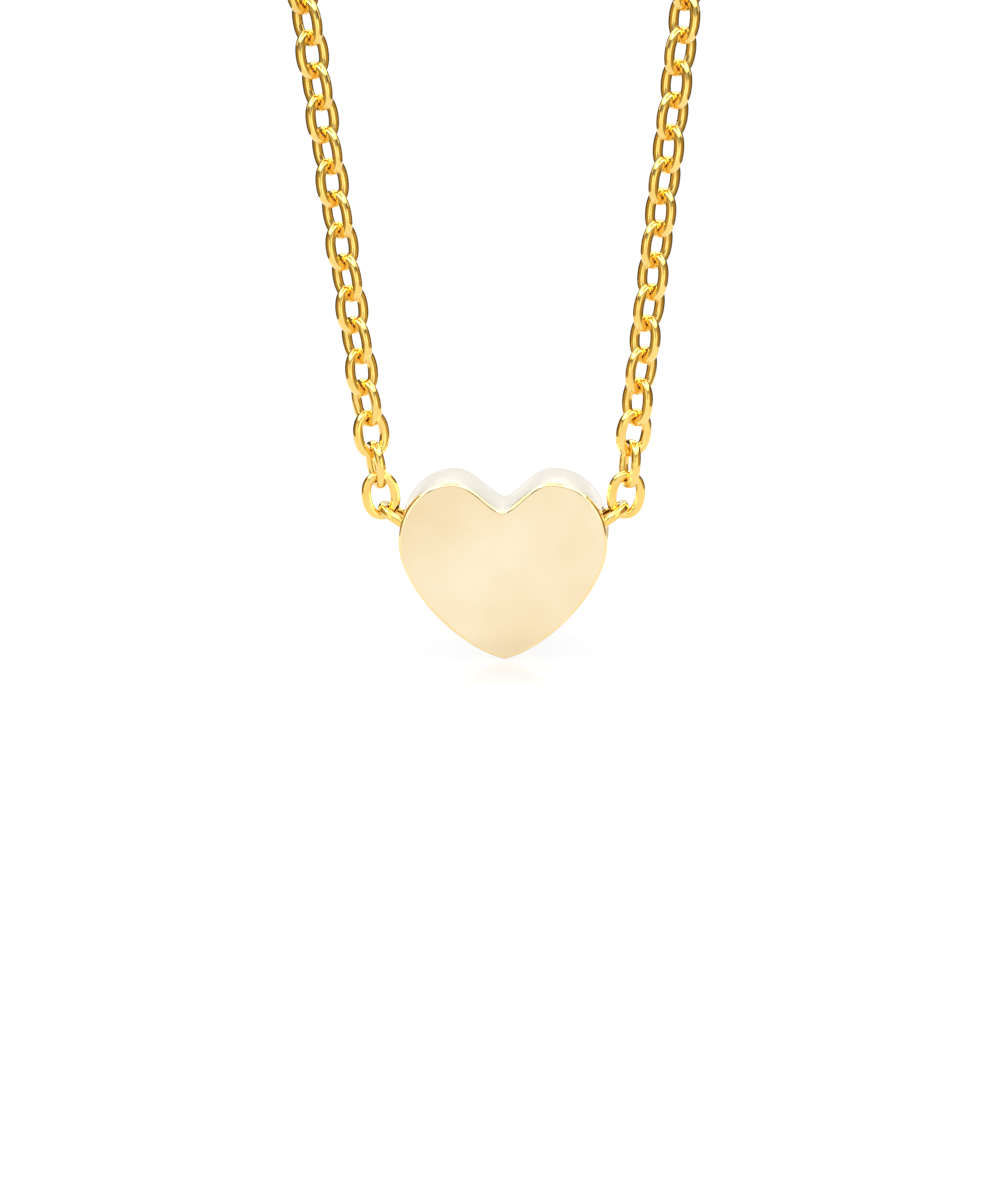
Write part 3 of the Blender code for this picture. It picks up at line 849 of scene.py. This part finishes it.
def build_floor():
    """A pale, softly lit floor just under the heart, polished there so that it mirrors the tip faintly. It
    glows less there, which paints a soft shadow round the heart.
    """
    mat, nodes, links, shader = new_material("floor_white")
    shader.inputs["Base Color"].default_value = grey(FLOOR_GREY)
    shader.inputs["Emission Color"].default_value = grey(1.0)
    shader.inputs["IOR"].default_value = FLOOR_IOR
    coords = nodes.new("ShaderNodeTexCoord")
    away = nodes.new("ShaderNodeVectorMath")
    away.operation = "LENGTH"
    links.new(coords.outputs["Object"], away.inputs[0])
    for socket, near, far in FLOOR_POLISH_AND_SHADE_FADES:
        fade = map_range(nodes, links, away.outputs["Value"], (POLISH_AND_SHADE_NEAR, POLISH_AND_SHADE_FAR), (near, far))
        fade.interpolation_type = "SMOOTHERSTEP"
        links.new(fade.outputs["Result"], shader.inputs[socket])
    work = bmesh.new()
    bmesh.ops.create_grid(work, x_segments=1, y_segments=1, size=FLOOR_SIZE)
    stage_mesh("floor", work, mat, (0.0, 0.0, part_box("heart_bead")[0].z - FLOOR_GAP))


def blend_colors(nodes, links, factor, first, second):
    """Mix two colours, each a value or a socket, by a factor."""
    node = nodes.new("ShaderNodeMix")
    node.data_type = "RGBA"
    links.new(factor, node.inputs["Factor"])
    for socket, color in (("A", first), ("B", second)):
        if isinstance(color, tuple):
            node.inputs[socket].default_value = (*color, 1.0)
        else:
            links.new(color, node.inputs[socket])
    return node.outputs["Result"]


def build_world():
    """A white studio. Reflections see its soft boxes, the dark gaps between them and the overhead light."""
    world = bpy.data.worlds.new("studio")
    bpy.context.scene.world = world
    world.use_nodes = True
    nodes = world.node_tree.nodes
    links = world.node_tree.links
    coords = nodes.new("ShaderNodeTexCoord")
    split = nodes.new("ShaderNodeSeparateXYZ")
    links.new(coords.outputs["Generated"], split.inputs["Vector"])
    back = nodes.new("ShaderNodeMath")
    back.operation = "MULTIPLY"
    back.inputs[1].default_value = -1.0
    links.new(split.outputs["Y"], back.inputs[0])
    turn = nodes.new("ShaderNodeMath")
    turn.operation = "ARCTAN2"
    links.new(split.outputs["X"], turn.inputs[0])
    links.new(back.outputs["Value"], turn.inputs[1])
    part = map_range(nodes, links, turn.outputs["Value"], (-math.pi, math.pi), (0.0, 1.0))
    around = ramp(nodes, links, part.outputs["Result"], STUDIO_AROUND)
    up = ramp(nodes, links, split.outputs["Z"], STUDIO_UP)
    mirrored_room = blend_colors(nodes, links, up, around, OVERHEAD)
    path = nodes.new("ShaderNodeLightPath")
    room = blend_colors(nodes, links, path.outputs["Is Glossy Ray"], WHITE, mirrored_room)
    seen = blend_colors(nodes, links, path.outputs["Is Camera Ray"], room, SEAMLESS)
    background = nodes["Background"]
    background.inputs["Strength"].default_value = STUDIO_STRENGTH
    links.new(seen, background.inputs["Color"])


def build_flags():
    """Shaded cards beside the chain that only reflections see, as they are set for polished metal."""
    mat, nodes, links, shader = new_material("flag")
    shader.inputs["Base Color"].default_value = grey(0.0)
    shader.inputs["Emission Strength"].default_value = FLAG_GLOW
    coords = nodes.new("ShaderNodeTexCoord")
    split = nodes.new("ShaderNodeSeparateXYZ")
    links.new(coords.outputs["Object"], split.inputs["Vector"])
    part = map_range(nodes, links, split.outputs["Y"], (FLAG_NEAR, FLAG_FAR), (0.0, 1.0))
    links.new(ramp(nodes, links, part.outputs["Result"], FLAG_SHADES), shader.inputs["Emission Color"])
    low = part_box("heart_bead")[0].z
    high = BORE.z + FLAG_UP
    corners = ((FLAG_NEAR, low), (FLAG_FAR, low), (FLAG_FAR, high), (FLAG_NEAR, high))
    for side, word in ((-1, "left"), (1, "right")):
        work = bmesh.new()
        work.faces.new([work.verts.new((side * FLAG_X, y, z)) for y, z in corners])
        flag = stage_mesh("flag_" + word, work, mat)
        flag.visible_camera = False
        flag.visible_diffuse = False
        flag.visible_shadow = False


def build_light(name, offset, size, energy):
    """A square soft box that faces the heart's hole."""
    data = bpy.data.lights.new(name, "AREA")
    data.shape = "RECTANGLE"
    data.size = data.size_y = size
    data.energy = energy
    light = add_object(name, data, BORE + Vector(offset))
    light.rotation_euler = (-Vector(offset)).to_track_quat("-Z", "Y").to_euler()


def build_camera():
    azimuth = math.radians(CAMERA_AZIMUTH)
    elevation = math.radians(CAMERA_ELEVATION)
    aim = Vector((AIM_X, 0.0, BORE.z - AIM_BELOW_BORE))
    level = math.cos(elevation)
    back = Vector((-math.sin(azimuth) * level, -math.cos(azimuth) * level, math.sin(elevation)))
    data = bpy.data.cameras.new("camera")
    data.lens = CAMERA_LENS
    data.sensor_width = CAMERA_SENSOR
    data.clip_start = CLIP_START
    data.clip_end = CLIP_END
    camera = add_object("camera", data, aim + back * CAMERA_DISTANCE)
    facing = (-back).to_track_quat("-Z", "Y").to_matrix()
    roll = Matrix.Rotation(math.radians(CAMERA_ROLL), 3, "Z")
    camera.rotation_euler = (facing @ roll).to_euler()
    bpy.context.scene.camera = camera


def build_studio():
    build_floor()
    build_world()
    build_flags()
    for box in SOFT_BOXES:
        build_light(*box)
    build_camera()
    bpy.context.scene.view_settings.view_transform = "Standard"


build_link_pieces()
build_runs()
build_heart()
build_rings()
build_claw()
build_lever()
build_pin()
build_spring()
build_studio()
